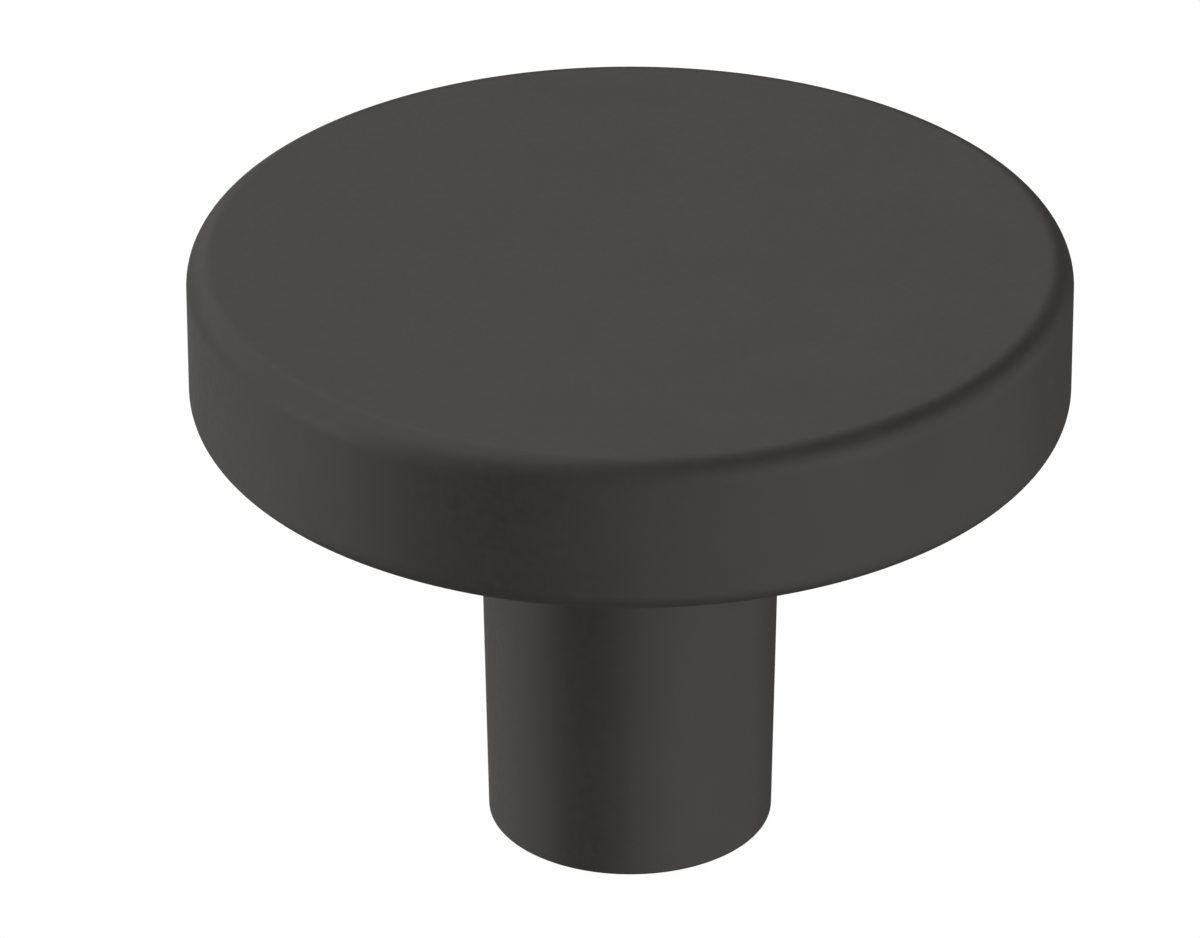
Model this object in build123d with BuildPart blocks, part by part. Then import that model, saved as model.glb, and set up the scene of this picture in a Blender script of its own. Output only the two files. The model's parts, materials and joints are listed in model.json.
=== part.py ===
"""Round cabinet knob, cast in one piece: a flat disc head on a drafted stem, tapped in its foot.

The knob stands on its foot. The origin is the centre of the foot's face, which seats on the drawer
or door, and +Z runs along the knob's axis out to the head. Lengths are in millimetres.
"""

import os
from math import radians, tan

from build123d import *

# Head: a flat disc with both of its rims rounded over
HEAD_DIAMETER = 32.0
HEAD_THICKNESS = 6.0
FACE_RIM_RADIUS = 0.95
BACK_RIM_RADIUS = 0.95

# Stem: a cone that opens towards the head by the casting's draft, with its foot's edge just broken
STEM_LENGTH = 17.0
FOOT_DIAMETER = 10.5
STEM_DRAFT = 1.0  # degrees on each side
FOOT_CHAMFER = 0.1

# Screw hole: blind, drilled for an M4 x 0.7 thread, with a countersunk mouth
TAP_DRILL_DIAMETER = 3.3
DRILL_DEPTH = 13.0
DRILL_POINT_ANGLE = 118.0
MOUTH_DIAMETER = 4.6
MOUTH_ANGLE = 90.0

# Worked out from the sizes above
HEAD_RADIUS = HEAD_DIAMETER / 2
FOOT_RADIUS = FOOT_DIAMETER / 2
ROOT_RADIUS = FOOT_RADIUS + STEM_LENGTH * tan(radians(STEM_DRAFT))
KNOB_HEIGHT = STEM_LENGTH + HEAD_THICKNESS
TAP_DRILL_RADIUS = TAP_DRILL_DIAMETER / 2
DRILL_POINT_LENGTH = TAP_DRILL_RADIUS / tan(radians(DRILL_POINT_ANGLE / 2))


with BuildPart() as knob:
    # The casting: half of its section, turned about the knob's axis
    with BuildSketch(Plane.XZ):
        with BuildLine():
            Polyline(
                (0, 0),
                (FOOT_RADIUS, 0),
                (ROOT_RADIUS, STEM_LENGTH),
                (HEAD_RADIUS, STEM_LENGTH),
                (HEAD_RADIUS, KNOB_HEIGHT),
                (0, KNOB_HEIGHT),
                close=True,
            )
        make_face()
    revolve(axis=Axis.Z)

    # The head's two rims, rounded over
    top_face = knob.faces().sort_by(Axis.Z)[-1]
    fillet(top_face.edges(), radius=FACE_RIM_RADIUS)
    back_face = knob.faces().filter_by(GeomType.PLANE).sort_by(Axis.Z)[1]
    fillet(back_face.edges().sort_by(SortBy.RADIUS)[-1], radius=BACK_RIM_RADIUS)

    # The foot's edge, broken
    foot_face = knob.faces().sort_by(Axis.Z)[0]
    chamfer(foot_face.edges(), length=FOOT_CHAMFER)

    # The screw hole, countersunk in the foot's face, and the drill's point at its end
    foot_face = knob.faces().sort_by(Axis.Z)[0]
    with Locations(Plane(foot_face)):
        CounterSinkHole(
            radius=TAP_DRILL_RADIUS,
            counter_sink_radius=MOUTH_DIAMETER / 2,
            depth=DRILL_DEPTH,
            counter_sink_angle=MOUTH_ANGLE,
        )
    with Locations((0, 0, DRILL_DEPTH)):
        Cone(
            bottom_radius=TAP_DRILL_RADIUS,
            top_radius=0,
            height=DRILL_POINT_LENGTH,
            align=(Align.CENTER, Align.CENTER, Align.MIN),
            mode=Mode.SUBTRACT,
        )

knob.part.label = "knob"

os.makedirs("parts", exist_ok=True)
export_step(knob.part, "parts/knob.step")
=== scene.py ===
"""Round cabinet knob in a plain light studio: a matte black casting with a bright tapped screw hole.

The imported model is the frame. The knob stands on its foot at the origin, with its axis along +Z.
Lengths are in millimetres and angles in degrees, as in the part's own sizes, unless a comment says
otherwise.
"""
import json
import logging
from abc import ABC, abstractmethod
from dataclasses import dataclass
from enum import Enum
from math import ceil, cos, hypot, pi, radians, sin, tan, tau
from typing import ClassVar, Mapping, Sequence, Union

import bmesh
import bpy
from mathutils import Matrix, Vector


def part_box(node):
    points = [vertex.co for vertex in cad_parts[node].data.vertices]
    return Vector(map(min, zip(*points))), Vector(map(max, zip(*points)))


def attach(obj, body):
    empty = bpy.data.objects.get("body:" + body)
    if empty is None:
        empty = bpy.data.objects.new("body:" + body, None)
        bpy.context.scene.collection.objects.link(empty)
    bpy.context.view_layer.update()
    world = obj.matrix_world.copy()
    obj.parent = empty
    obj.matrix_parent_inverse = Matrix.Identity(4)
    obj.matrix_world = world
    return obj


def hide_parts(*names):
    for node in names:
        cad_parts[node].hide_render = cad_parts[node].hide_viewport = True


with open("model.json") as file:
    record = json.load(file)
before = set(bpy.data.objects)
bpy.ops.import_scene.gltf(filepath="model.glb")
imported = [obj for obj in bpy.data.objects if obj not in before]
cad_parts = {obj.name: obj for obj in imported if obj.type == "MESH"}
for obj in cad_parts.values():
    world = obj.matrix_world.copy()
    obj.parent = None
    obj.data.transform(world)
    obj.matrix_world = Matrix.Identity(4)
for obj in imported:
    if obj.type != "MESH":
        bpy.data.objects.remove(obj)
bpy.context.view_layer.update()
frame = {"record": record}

MM = 0.001
NODE = "knob"
BODY = "root"
HOLE_MOUNT = "screw_hole"
PHOTO_WIDTH = 1200
LOG = logging.getLogger("cabinet_knob")

Point = tuple[float, float]
Colour = tuple[float, float, float]
WHITE: Colour = (1.0, 1.0, 1.0)
WARM_WHITE: Colour = (1.0, 0.983, 0.964)


class Surface(Enum):
    """The casting's two surfaces, numbered as their materials are on its mesh."""

    COAT = 0
    CUT_ZINC = 1


class Seen(Enum):
    """What a studio object is seen by."""

    CAMERA_ONLY = "camera"
    LIGHT_ONLY = "light"


class Value:
    """One output of a shader node. An expression on it adds the Math nodes that work it out."""

    def __init__(self, graph: "Graph", socket: bpy.types.NodeSocket | None) -> None:
        """Wraps a socket of a node in that graph."""
        self.graph = graph
        self.socket = socket

    def math(self, operation: str, first: "Number", second: "Number") -> "Value":
        """Adds a Math node on two values or numbers."""
        return self.graph.node("ShaderNodeMath", {"operation": operation}, {0: first, 1: second})

    def __add__(self, other: "Number") -> "Value":
        """Gives self + other."""
        return self.math("ADD", self, other)

    def __sub__(self, other: "Number") -> "Value":
        """Gives self - other."""
        return self.math("SUBTRACT", self, other)

    def __mul__(self, other: "Number") -> "Value":
        """Gives self * other."""
        return self.math("MULTIPLY", self, other)

    def __radd__(self, other: "Number") -> "Value":
        """Gives other + self."""
        return self.math("ADD", other, self)

    def __rsub__(self, other: "Number") -> "Value":
        """Gives other - self."""
        return self.math("SUBTRACT", other, self)

    def __rmul__(self, other: "Number") -> "Value":
        """Gives other * self."""
        return self.math("MULTIPLY", other, self)


Number = Union[float, Value]
Input = Union[float, Sequence[float], Value]


class Graph:
    """The node tree of a material or of the world."""

    NOISE_MEAN: ClassVar[float] = 0.5

    def __init__(self, owner: bpy.types.Material | bpy.types.World) -> None:
        """Takes over a node tree, emptied.

        Args:
            owner: The material or the world whose tree it is.
        """
        owner.use_nodes = True
        self.tree = owner.node_tree
        self.tree.nodes.clear()

    @staticmethod
    def find(sockets: Sequence[bpy.types.NodeSocket], key: str | int) -> bpy.types.NodeSocket | None:
        """Finds a socket that is in use.

        Args:
            sockets: A node's inputs or outputs.
            key: The socket's name, its number, or an empty name for the first one.

        Returns:
            The socket, or None where a node has no such socket.
        """
        if isinstance(key, int):
            return sockets[key]
        return next((socket for socket in sockets if socket.enabled and key in ("", socket.name)), None)

    def node(
        self,
        kind: str,
        settings: Mapping[str, object] | None = None,
        inputs: Mapping[str | int, Input] | None = None,
        output: str = "",
    ) -> Value:
        """Adds a node.

        Args:
            kind: The node's type.
            settings: Its own properties, which are set first because they choose its sockets.
            inputs: Its sockets' values, or the values that are linked to them.
            output: The name of the output wanted, or an empty name for the first one.

        Returns:
            That output.
        """
        node = self.tree.nodes.new(kind)
        for name, setting in (settings or {}).items():
            setattr(node, name, setting)
        for key, value in (inputs or {}).items():
            socket = self.find(node.inputs, key)
            if isinstance(value, Value):
                self.tree.links.new(value.socket, socket)
            else:
                socket.default_value = value
        return Value(self, self.find(node.outputs, output))

    def place(self) -> Value:
        """Gives the place on the object, in metres."""
        return self.node("ShaderNodeTexCoord", output="Object")

    def noise(self, place: Value, pitch: float, detail: float = 1.0) -> Value:
        """Adds a soft random pattern.

        Args:
            place: The coordinates that it follows, in metres.
            pitch: About how far apart its spots are, in millimetres.
            detail: How many finer patterns are laid over it.

        Returns:
            A value from 0 to 1, mostly near the noise's mean.
        """
        inputs = {"Vector": place, "Scale": 1 / (pitch * MM), "Detail": detail}
        return self.node("ShaderNodeTexNoise", {"noise_dimensions": "3D"}, inputs, "Fac")

    def fade(self, share: Value, first: Colour, second: Colour) -> Value:
        """Fades from the first colour to the second as a share goes from 0 to 1."""
        inputs = {"Factor": share, "A": rgba(first), "B": rgba(second)}
        return self.node("ShaderNodeMix", {"data_type": "RGBA"}, inputs)

    def bump(self, height: Value) -> Value:
        """Turns a height in millimetres into a surface normal."""
        return self.node("ShaderNodeBump", inputs={"Strength": 1.0, "Distance": MM, "Height": height})

    def coat_with(self, shader: Value) -> None:
        """Makes a shader the surface of the material."""
        self.node("ShaderNodeOutputMaterial", inputs={"Surface": shader})


def rgba(colour: Colour) -> tuple[float, float, float, float]:
    """Gives a colour with full opacity."""
    return (*colour, 1.0)


def scaled(colour: Colour, factor: float) -> Colour:
    """Gives a colour made lighter or darker by a factor."""
    return tuple(channel * factor for channel in colour)


@dataclass(frozen=True)
class MatteCoat:
    """Baked matte black paint: even, a little warm, with a faint orange peel and a fine dry grain."""

    name: str = "matte_black_coat"
    colour: Colour = (0.033, 0.030, 0.027)
    colour_spread: float = 0.30
    cloud_share: float = 0.5
    cloud_pitch: float = 3.0
    cloud_detail: float = 3.0
    roughness: float = 0.5
    roughness_spread: float = 0.16
    peel_pitch: float = 1.4
    peel_height: float = 0.006
    grain_pitch: float = 0.28
    grain_height: float = 0.004

    def material(self) -> bpy.types.Material:
        """Makes the material.

        Returns:
            The coat, clouded and grained.
        """
        material = bpy.data.materials.new(self.name)
        graph = Graph(material)
        place = graph.place()
        cloud = graph.noise(place, self.cloud_pitch, self.cloud_detail)
        peel = graph.noise(place, self.peel_pitch)
        grain = graph.noise(place, self.grain_pitch)
        tone = self.cloud_share * cloud + (1 - self.cloud_share) * grain
        deep = scaled(self.colour, 1 - self.colour_spread)
        pale = scaled(self.colour, 1 + self.colour_spread)
        paint = {
            "Base Color": graph.fade(tone, deep, pale),
            "Roughness": self.roughness + (grain - graph.NOISE_MEAN) * self.roughness_spread,
            "Normal": graph.bump(peel * self.peel_height + grain * self.grain_height),
        }
        graph.coat_with(graph.node("ShaderNodeBsdfPrincipled", inputs=paint))
        return material


@dataclass(frozen=True)
class CutZinc:
    """Bare zinc alloy that the drill and the tap have cut: bright, with fine marks round the hole."""

    name: str = "cut_zinc"
    colour: Colour = (0.56, 0.56, 0.57)
    dull_colour: Colour = (0.40, 0.40, 0.41)
    cloud_pitch: float = 0.8
    cloud_detail: float = 3.0
    roughness: float = 0.34
    roughness_spread: float = 0.16
    mark_pitch: float = 0.05
    mark_detail: float = 2.0
    mark_stretch: float = 12.5
    mark_height: float = 0.0012

    def material(self) -> bpy.types.Material:
        """Makes the material.

        Returns:
            The metal, with its marks drawn out level.
        """
        material = bpy.data.materials.new(self.name)
        graph = Graph(material)
        place = graph.place()
        cloud = graph.noise(place, self.cloud_pitch, self.cloud_detail)
        squeeze = (1 / self.mark_stretch, 1 / self.mark_stretch, 1.0)
        level = graph.node("ShaderNodeVectorMath", {"operation": "MULTIPLY"}, {0: place, 1: squeeze})
        mark = graph.noise(level, self.mark_pitch, self.mark_detail)
        metal = {
            "Base Color": graph.fade(cloud, self.dull_colour, self.colour),
            "Metallic": 1.0,
            "Roughness": self.roughness + (mark - graph.NOISE_MEAN) * self.roughness_spread,
            "Normal": graph.bump(mark * self.mark_height),
        }
        graph.coat_with(graph.node("ShaderNodeBsdfPrincipled", inputs=metal))
        return material


@dataclass(frozen=True)
class PaleFloor:
    """Burnt-out white floor with a faint shade where something stands on it. It is clear from below."""

    name: str = "pale_floor"
    glow: float = 1.02
    shade: float = 0.06
    shade_reach: float = 5.0
    shade_samples: int = 4

    def material(self) -> bpy.types.Material:
        """Makes the material.

        Returns:
            The floor's white, which gives its own light.
        """
        material = bpy.data.materials.new(self.name)
        graph = Graph(material)
        settings = {"samples": self.shade_samples}
        reach = {"Distance": self.shade_reach * MM}
        open_sky = graph.node("ShaderNodeAmbientOcclusion", settings, reach, "AO")
        shaded = scaled(WHITE, self.glow - self.shade)
        lit = scaled(WHITE, self.glow)
        white = graph.node("ShaderNodeEmission", inputs={"Color": graph.fade(open_sky, shaded, lit)})
        clear = graph.node("ShaderNodeBsdfTransparent")
        below = graph.node("ShaderNodeNewGeometry", output="Backfacing")
        graph.coat_with(graph.node("ShaderNodeMixShader", inputs={0: below, 1: white, 2: clear}))
        return material


class Chart(ABC):
    """A part of the paint map, on which one stretch of the casting is laid out."""

    @abstractmethod
    def place(self, turn: float, run: float, face_turn: float) -> Point:
        """Lays one corner of a face out.

        Args:
            turn: Its share of the way round the axis, from 0 to 1.
            run: How far along the profile it is from the chart's start.
            face_turn: The share at the middle of its face.

        Returns:
            Its place on the map, in millimetres.
        """


@dataclass(frozen=True)
class RoundChart(Chart):
    """A disc of the paint map: rings about a centre, which grow outward or inward along the profile."""

    centre: Point
    start: float
    outward: bool = True

    def place(self, turn: float, run: float, face_turn: float) -> Point:
        """Lays a corner out on its ring."""
        radius = self.start + run if self.outward else self.start - run
        return self.centre[0] + radius * cos(tau * turn), self.centre[1] + radius * sin(tau * turn)


@dataclass(frozen=True)
class StripChart(Chart):
    """A band of the paint map, rolled out flat and cut into rows of equal length."""

    corner: Point
    radius: float
    rows: int = 1
    row_height: float = 0.0

    def place(self, turn: float, run: float, face_turn: float) -> Point:
        """Lays a corner out in the row that its face is in.

        Args:
            turn: Its share of the way round the axis, from 0 to 1.
            run: How far along the profile it is from the chart's start.
            face_turn: The share at the middle of its face.

        Returns:
            Its place on the map, in millimetres.
        """
        row = int(face_turn * self.rows)
        along = (turn - row / self.rows) * tau * self.radius
        return self.corner[0] + along, self.corner[1] + run + row * self.row_height


@dataclass(frozen=True)
class PaintMap:
    """Where the casting's charts lie on its square paint map."""

    size: float = 69.0
    back_centre: Point = (17.5, 17.5)
    face_centre: Point = (51.5, 17.5)
    stem_corner: Point = (1.0, 35.5)
    hole_corner: Point = (36.5, 35.5)
    foot_centre: Point = (57.0, 41.0)
    side_corner: Point = (1.0, 55.5)
    side_rows: int = 2
    side_row_height: float = 6.0


class Lathe:
    """Grows a closed mesh about the Z axis ring by ring, from one pole to the other."""

    MAP_NAME: ClassVar[str] = "OFBake"

    def __init__(self, map_size: float) -> None:
        """Starts an empty mesh.

        Args:
            map_size: How wide its paint map is.
        """
        self.mesh = bmesh.new()
        self.map = self.mesh.loops.layers.uv.new(self.MAP_NAME)
        self.map_size = map_size
        self.verts: list[bmesh.types.BMVert] = []
        self.at: Point = (0.0, 0.0)
        self.run = 0.0
        self.chart: Chart | None = None
        self.surface = Surface.COAT

    def begin(self, chart: Chart, surface: Surface = Surface.COAT) -> None:
        """Starts a new stretch of the casting.

        Args:
            chart: The chart that its faces are laid out on.
            surface: The surface that they have.
        """
        self.chart = chart
        self.surface = surface
        self.run = 0.0

    def ring(
        self,
        radii: float | Sequence[float],
        height: float,
        segments: int = 0,
        sharp: bool = False,
    ) -> None:
        """Adds a ring and joins it to the last one, which has as many points, or twice or half as many.

        Args:
            radii: The ring's radius, or one radius for each of its points.
            height: Its height on the axis.
            segments: How many points it has, or 0 for as many as the last ring.
            sharp: Whether the surface has an edge there.
        """
        count = segments or len(self.verts)
        if isinstance(radii, (int, float)):
            radii = [radii] * count
        angles = [tau * index / count for index in range(count)]
        places = [Vector((r * cos(a), r * sin(a), height)) * MM for r, a in zip(radii, angles)]
        self.join([self.mesh.verts.new(place) for place in places], (sum(radii) / count, height))
        if sharp:
            for first, second in zip(self.verts, self.verts[1:] + self.verts[:1]):
                self.mesh.edges.get((first, second)).smooth = False

    def pole(self, height: float) -> None:
        """Adds a point on the axis, which starts the mesh or closes it."""
        self.join([self.mesh.verts.new((0.0, 0.0, height * MM))], (0.0, height))

    def follow(self, profile: Sequence[Point]) -> None:
        """Adds a plain ring at each point of a stretch of the half section."""
        for radius, height in profile:
            self.ring(radius, height)

    def join(self, verts: list[bmesh.types.BMVert], at: Point) -> None:
        """Fills the gap between the last ring and the next.

        Args:
            verts: The next ring's points, or the one point of a pole.
            at: Its mean radius and its height.
        """
        rings = {False: self.verts, True: verts}
        runs = {False: self.run, True: self.run}
        if self.verts:
            runs[True] += hypot(at[0] - self.at[0], at[1] - self.at[1])
        for corners in self.faces_between(len(self.verts), len(verts)):
            self.face(
                [rings[is_new][index % len(rings[is_new])] for is_new, index in corners],
                [index / len(rings[is_new]) for is_new, index in corners],
                [runs[is_new] for is_new, _ in corners],
            )
        self.verts = verts
        self.at = at
        self.run = runs[True]

    @staticmethod
    def faces_between(old: int, new: int) -> list[list[tuple[bool, int]]]:
        """Lists the faces between two rings.

        Args:
            old: How many points the last ring has, or 0 where there is none yet.
            new: How many points the next ring has.

        Returns:
            For each face its corners: whether a corner is on the next ring, and its number there.
        """
        faces = []
        for index in range(max(old, new) if old else 0):
            if old == 1:
                faces.append([(False, index), (True, index), (True, index + 1)])
            elif new == 1:
                faces.append([(False, index), (True, index), (False, index + 1)])
            elif old == new:
                faces.append([(False, index), (True, index), (True, index + 1), (False, index + 1)])
            elif index % 2 == 0:
                fine, middle = new > old, index // 2
                faces.append([(not fine, middle), (fine, index), (fine, index + 1)])
                faces.append([(not fine, middle), (fine, index + 1), (not fine, middle + 1)])
                faces.append([(not fine, middle + 1), (fine, index + 1), (fine, index + 2)])
        return faces

    def face(self, verts: list[bmesh.types.BMVert], turns: list[float], runs: list[float]) -> None:
        """Adds one face with its surface and its place on the paint map.

        Args:
            verts: Its corners.
            turns: Each corner's share of the way round the axis.
            runs: How far along the chart's profile each corner is.
        """
        face = self.mesh.faces.new(verts)
        face.smooth = True
        face.material_index = self.surface.value
        middle = sum(turns) / len(turns)
        for loop, turn, run in zip(face.loops, turns, runs):
            across, up = self.chart.place(turn, run, middle)
            loop[self.map].uv = (across / self.map_size, up / self.map_size)

    def finish(self, name: str) -> bpy.types.Object:
        """Turns the mesh into an object, with its faces outward.

        Args:
            name: The object's name.

        Returns:
            The object, in the scene.
        """
        bmesh.ops.recalc_face_normals(self.mesh, faces=self.mesh.faces[:])
        data = bpy.data.meshes.new(name)
        self.mesh.to_mesh(data)
        self.mesh.free()
        return added(name, data)


def added(name: str, data: bpy.types.ID) -> bpy.types.Object:
    """Adds an object to the scene.

    Args:
        name: Its name.
        data: The mesh, the light or the camera that it shows.

    Returns:
        The object.
    """
    made = bpy.data.objects.new(name, data)
    bpy.context.scene.collection.objects.link(made)
    return made


def arc(centre: Point, radius: float, start: float, end: float, steps: int) -> list[Point]:
    """Gives an arc of the half section.

    Args:
        centre: Its centre, as radius and height.
        radius: Its own radius.
        start: The angle that it starts at, in degrees from the outward direction towards up.
        end: The angle that it ends at.
        steps: How many equal steps it has.

    Returns:
        Its points, with both ends.
    """
    angles = [radians(start + (end - start) * step / steps) for step in range(steps + 1)]
    return [(centre[0] + radius * cos(angle), centre[1] + radius * sin(angle)) for angle in angles]


def spread(start: float, end: float, step: float) -> list[float]:
    """Lists evenly spaced values with both ends.

    Args:
        start: The first value.
        end: The last one, which may be lower.
        step: The most that they may lie apart.

    Returns:
        The values in order.
    """
    count = ceil(abs(end - start) / step)
    return [start + (end - start) * index / count for index in range(count + 1)]


def held(share: float) -> float:
    """Keeps a share between 0 and 1."""
    return min(max(share, 0.0), 1.0)


@dataclass(frozen=True)
class Thread:
    """Metric coarse thread of the screw hole, right-handed."""

    major_radius: float = 2.0
    pitch: float = 0.7
    flank_angle: float = 30.0
    root_share: float = 0.125
    full_depth: float = 10.5
    run_out: float = 1.0
    steps: int = 24

    @property
    def end(self) -> float:
        """The height at which the thread has run out."""
        return self.full_depth + self.run_out

    def radius(self, turn: float, height: float, bore: float) -> float:
        """Gives the thread's radius.

        Args:
            turn: The share of the way round the axis, from 0 to 1.
            height: The height above the foot.
            bore: The drilled hole's radius, which is the thread's crest.

        Returns:
            The radius of the cut wall there.
        """
        depth = self.major_radius - bore
        flank = depth * tan(radians(self.flank_angle)) / self.pitch
        phase = (height / self.pitch - turn) % 1
        share = held((flank + self.root_share / 2 - abs(phase - 0.5)) / flank)
        return bore + depth * share * held((self.end - height) / self.run_out)


@dataclass(frozen=True)
class Knob:
    """The casting: a flat disc head with rounded rims on a drafted stem, tapped in its foot."""

    # Rings of the drill's point, as shares of the bore's radius
    POINT_RINGS: ClassVar[tuple[float, ...]] = (0.25, 0.6, 0.95)
    # Rings of the stem, as shares of its length
    STEM_RINGS: ClassVar[tuple[float, ...]] = (0.01, 0.1, 0.3, 0.5, 0.7, 0.9, 0.98)
    # Rings of the flat face, as shares of its radius, and how many times fewer points each one has
    FACE_RINGS: ClassVar[tuple[tuple[float, int], ...]] = ((0.8, 1), (0.5, 2), (0.25, 4), (0.12, 8))

    head_radius: float
    height: float
    bore_radius: float
    head_thickness: float = 6.0
    face_rim: float = 0.95
    back_rim: float = 0.95
    foot_radius: float = 5.25
    draft: float = 1.0
    foot_edge: float = 0.1
    root_fillet: float = 0.2
    mouth_radius: float = 2.3
    mouth_half_angle: float = 45.0
    drill_depth: float = 13.0
    drill_point: float = 118.0
    thread: Thread = Thread()
    coat: MatteCoat = MatteCoat()
    zinc: CutZinc = CutZinc()
    paint_map: PaintMap = PaintMap()
    segments: int = 192
    hole_segments: int = 96
    rim_steps: int = 16
    edge_steps: int = 6
    mouth_fineness: int = 3
    guard: float = 0.05

    @property
    def stem_length(self) -> float:
        """The height of the head's back face."""
        return self.height - self.head_thickness

    def stem_radius(self, height: float) -> float:
        """Gives the stem's radius at a height."""
        return self.foot_radius + height * tan(radians(self.draft))

    def mouth_height(self, radius: float) -> float:
        """Gives the height at which the countersunk mouth has narrowed to a radius."""
        return (self.mouth_radius - radius) / tan(radians(self.mouth_half_angle))

    def turn_hole(self, lathe: Lathe) -> None:
        """Turns the screw hole, from the drill's point down to its mouth.

        Args:
            lathe: The lathe, with nothing on it yet.
        """
        slope = tan(radians(self.drill_point / 2))
        lathe.pole(self.drill_depth + self.bore_radius / slope)
        lathe.begin(StripChart(self.paint_map.hole_corner, self.bore_radius), Surface.CUT_ZINC)
        for share in self.POINT_RINGS:
            radius = self.bore_radius * share
            height = self.drill_depth + (self.bore_radius - radius) / slope
            lathe.ring(radius, height, self.hole_segments)
        lathe.ring(self.bore_radius, self.drill_depth, sharp=True)
        lathe.ring(self.bore_radius, self.drill_depth - self.guard)
        for height in self.hole_heights():
            lathe.ring(self.hole_radii(height), height)
        lathe.surface = Surface.COAT
        lathe.ring(self.mouth_radius, 0.0, sharp=True)

    def hole_heights(self) -> list[float]:
        """Places the rings of the thread, which lie closer together in the mouth.

        Returns:
            Their heights, from the thread's end down to the coat's edge.
        """
        bore_edge = self.mouth_height(self.bore_radius)
        coat_edge = self.mouth_height(self.thread.major_radius)
        step = self.thread.pitch / self.thread.steps
        in_mouth = spread(bore_edge, coat_edge, step / self.mouth_fineness)
        return spread(self.thread.end, bore_edge, step) + in_mouth[1:]

    def hole_radii(self, height: float) -> list[float]:
        """Works out how far the thread and the mouth have cut the hole.

        Args:
            height: The height above the foot.

        Returns:
            The hole's radius at each point round it.
        """
        mouth = self.mouth_radius - height * tan(radians(self.mouth_half_angle))
        turns = [index / self.hole_segments for index in range(self.hole_segments)]
        return [max(mouth, self.thread.radius(turn, height, self.bore_radius)) for turn in turns]

    def turn_foot(self, lathe: Lathe) -> None:
        """Turns the foot's flat ring, where the points round it double in number.

        Args:
            lathe: The lathe, with the hole on it.
        """
        lathe.begin(RoundChart(self.paint_map.foot_centre, self.mouth_radius))
        flat_end = self.foot_radius - self.foot_edge
        lathe.ring(self.mouth_radius + self.guard, 0.0)
        lathe.ring((self.mouth_radius + flat_end) / 2, 0.0, self.segments)
        lathe.ring(flat_end - self.guard, 0.0)

    def turn_stem(self, lathe: Lathe) -> None:
        """Turns the stem, from its foot's broken edge up to the coat's small radius under the head.

        Args:
            lathe: The lathe, with the foot's flat ring on it.
        """
        lathe.begin(StripChart(self.paint_map.stem_corner, self.stem_radius(self.stem_length)))
        edge_centre = (self.foot_radius - self.foot_edge, self.foot_edge)
        lathe.follow(arc(edge_centre, self.foot_edge, -90, -self.draft, self.edge_steps))
        for share in self.STEM_RINGS:
            height = self.stem_length * share
            lathe.ring(self.stem_radius(height), height)
        height = self.stem_length - self.root_fillet
        root_centre = (self.stem_radius(height) + self.root_fillet / cos(radians(self.draft)), height)
        lathe.follow(arc(root_centre, self.root_fillet, 180 - self.draft, 90, self.edge_steps))

    def turn_head(self, lathe: Lathe) -> None:
        """Turns the head: its back, the two rounded rims, the side between them and the flat face.

        Args:
            lathe: The lathe, with the stem on it.
        """
        layout = self.paint_map
        back_centre = (self.head_radius - self.back_rim, self.stem_length + self.back_rim)
        face_centre = (self.head_radius - self.face_rim, self.height - self.face_rim)
        lathe.begin(RoundChart(layout.back_centre, lathe.at[0]))
        for radius in (lathe.at[0] + self.guard, self.head_radius / 2, back_centre[0] - self.guard):
            lathe.ring(radius, self.stem_length)
        lathe.follow(arc(back_centre, self.back_rim, -90, 0, self.rim_steps))
        side_rows = (layout.side_rows, layout.side_row_height)
        lathe.begin(StripChart(layout.side_corner, self.head_radius, *side_rows))
        lathe.ring(self.head_radius, back_centre[1] + self.guard)
        lathe.ring(self.head_radius, (back_centre[1] + face_centre[1]) / 2)
        lathe.ring(self.head_radius, face_centre[1] - self.guard)
        lathe.ring(self.head_radius, face_centre[1])
        rim_edge = face_centre[0] + self.face_rim * pi / 2
        lathe.begin(RoundChart(layout.face_centre, rim_edge, outward=False))
        lathe.follow(arc(face_centre, self.face_rim, 0, 90, self.rim_steps)[1:])
        lathe.ring(face_centre[0] - self.guard, self.height)
        for share, fewer in self.FACE_RINGS:
            lathe.ring(face_centre[0] * share, self.height, self.segments // fewer)
        lathe.pole(self.height)

    def build(self) -> bpy.types.Object:
        """Builds the knob in its place and dresses it.

        Returns:
            The piece that stands for the casting.
        """
        lathe = Lathe(self.paint_map.size)
        self.turn_hole(lathe)
        self.turn_foot(lathe)
        self.turn_stem(lathe)
        self.turn_head(lathe)
        casting = lathe.finish("coated_casting")
        casting.data.materials.append(self.coat.material())
        casting.data.materials.append(self.zinc.material())
        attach(casting, BODY)
        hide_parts(NODE)
        return casting


@dataclass(frozen=True)
class Panel:
    """A flat soft light that faces the knob.

    Its azimuth starts behind the knob, at +Y, and runs clockwise as seen from above. Its radiance is in
    watts per square metre and steradian.
    """

    name: str
    azimuth: float
    elevation: float
    width: float
    height: float
    radiance: float
    distance: float = 600.0

    def light(self, aim: Vector) -> bpy.types.Object:
        """Hangs the light.

        Args:
            aim: The point that it faces, in metres.

        Returns:
            The light, which the camera doesn't see.
        """
        turn, rise = radians(self.azimuth), radians(self.elevation)
        away = Vector((sin(turn) * cos(rise), cos(turn) * cos(rise), sin(rise)))
        lamp = bpy.data.lights.new(self.name, "AREA")
        lamp.shape = "RECTANGLE"
        lamp.size = self.width * MM
        lamp.size_y = self.height * MM
        lamp.color = WARM_WHITE
        lamp.energy = self.radiance * pi * lamp.size * lamp.size_y
        panel = added(self.name, lamp)
        panel.location = aim + away * self.distance * MM
        panel.rotation_euler = away.to_track_quat("Z", "Y").to_euler()
        show(panel, Seen.LIGHT_ONLY)
        return panel


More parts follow.
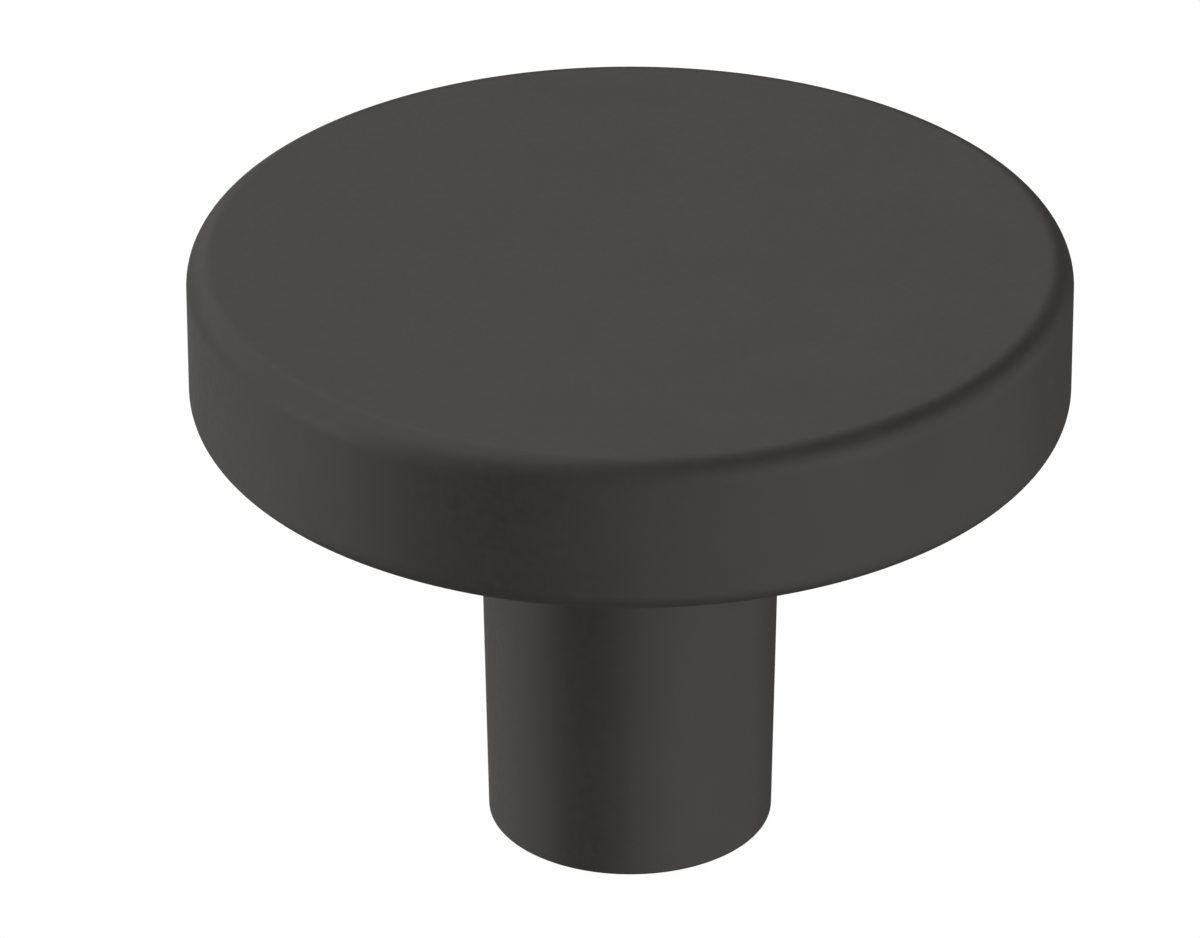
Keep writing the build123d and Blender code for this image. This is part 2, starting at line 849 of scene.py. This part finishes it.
@dataclass(frozen=True)
class Studio:
    """The pale floor, the soft light round the knob and the camera at the photo's viewing angle."""

    aim_height: float = 14.15
    camera_distance: float = 325.5
    camera_pitch: float = 28.73
    clip_start: float = 10.0
    lens: float = 267.6
    sensor: float = 36.0
    axis_column: float = 630.1
    floor_width: float = 6000.0
    floor_drop: float = 0.02
    ambient: float = 0.1
    floor: PaleFloor = PaleFloor()
    panels: tuple[Panel, ...] = (
        Panel("low_left_panel", azimuth=280, elevation=-15, width=800, height=1000, radiance=0.55),
        Panel("high_left_panel", azimuth=255, elevation=30, width=400, height=1600, radiance=1.3),
        Panel("right_panel", azimuth=110, elevation=5, width=1700, height=650, radiance=0.75),
        Panel("front_right_panel", azimuth=145, elevation=0, width=900, height=1700, radiance=0.55),
        Panel("low_right_panel", azimuth=125, elevation=-50, width=1700, height=500, radiance=0.4),
        Panel("back_left_panel", azimuth=320, elevation=45, width=700, height=900, radiance=0.8),
        Panel("back_panel", azimuth=10, elevation=50, width=250, height=750, radiance=0.7),
        Panel("low_back_panel", azimuth=340, elevation=-20, width=300, height=500, radiance=0.25),
    )

    @property
    def aim(self) -> Vector:
        """The point on the knob's axis that the camera and the lights face, in metres."""
        return Vector((0.0, 0.0, self.aim_height * MM))

    def lay_floor(self) -> bpy.types.Object:
        """Lays the floor just under the foot, where only the camera sees it.

        Returns:
            The floor.
        """
        half = self.floor_width * MM / 2
        corners = [(-half, -half, 0), (half, -half, 0), (half, half, 0), (-half, half, 0)]
        data = bpy.data.meshes.new("floor")
        data.from_pydata(corners, [], [(0, 1, 2, 3)])
        data.materials.append(self.floor.material())
        floor = added("floor", data)
        floor.location.z = -self.floor_drop * MM
        show(floor, Seen.CAMERA_ONLY)
        return floor

    def fill_sky(self) -> None:
        """Makes the world white behind the knob and a low even light all round it."""
        world = bpy.data.worlds.new("studio")
        bpy.context.scene.world = world
        graph = Graph(world)
        glow = {"Color": rgba(WHITE), "Strength": self.floor.glow}
        haze = {"Color": rgba(WARM_WHITE), "Strength": self.ambient}
        white = graph.node("ShaderNodeBackground", inputs=glow)
        dim = graph.node("ShaderNodeBackground", inputs=haze)
        seen = graph.node("ShaderNodeLightPath", output="Is Camera Ray")
        sky = graph.node("ShaderNodeMixShader", inputs={0: seen, 1: dim, 2: white})
        graph.node("ShaderNodeOutputWorld", inputs={"Surface": sky})

    def set_camera(self) -> bpy.types.Object:
        """Puts the camera where the photo was taken from.

        Returns:
            The camera.
        """
        pitch = radians(self.camera_pitch)
        data = bpy.data.cameras.new("camera")
        data.lens = self.lens
        data.sensor_width = self.sensor
        data.shift_x = 0.5 - self.axis_column / PHOTO_WIDTH
        data.clip_start = self.clip_start * MM
        camera = added("camera", data)
        back = Vector((0.0, -cos(pitch), sin(pitch)))
        camera.location = self.aim + back * self.camera_distance * MM
        camera.rotation_euler = (pi / 2 - pitch, 0.0, 0.0)
        bpy.context.scene.camera = camera
        return camera

    def build(self) -> None:
        """Builds the studio round the knob."""
        self.lay_floor()
        self.fill_sky()
        self.set_camera()
        for panel in self.panels:
            panel.light(self.aim)
        bpy.context.scene.view_settings.view_transform = "Standard"


def show(made: bpy.types.Object, seen: Seen) -> None:
    """Says what sees a studio object.

    Args:
        made: The object.
        seen: Whether the camera alone sees it, or everything else.
    """
    camera_only = seen is Seen.CAMERA_ONLY
    made.visible_camera = camera_only
    made.visible_diffuse = not camera_only
    made.visible_glossy = not camera_only
    made.visible_transmission = not camera_only
    made.visible_shadow = not camera_only


def main() -> None:
    """Builds the knob on the frame, and the studio round it."""
    logging.basicConfig(level=logging.INFO, format="%(name)s: %(message)s")
    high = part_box(NODE)[1]
    hole = next(mount for mount in frame["record"]["mounts"] if mount["name"] == HOLE_MOUNT)
    knob = Knob(high.x / MM, high.z / MM, hole["dims"]["r_mm"])
    casting = knob.build()
    LOG.info("%s stands for %s: %d faces", casting.name, NODE, len(casting.data.polygons))
    studio = Studio()
    studio.build()
    LOG.info("studio: %d soft panels round a pale floor", len(studio.panels))


if __name__ == "__main__":
    main()
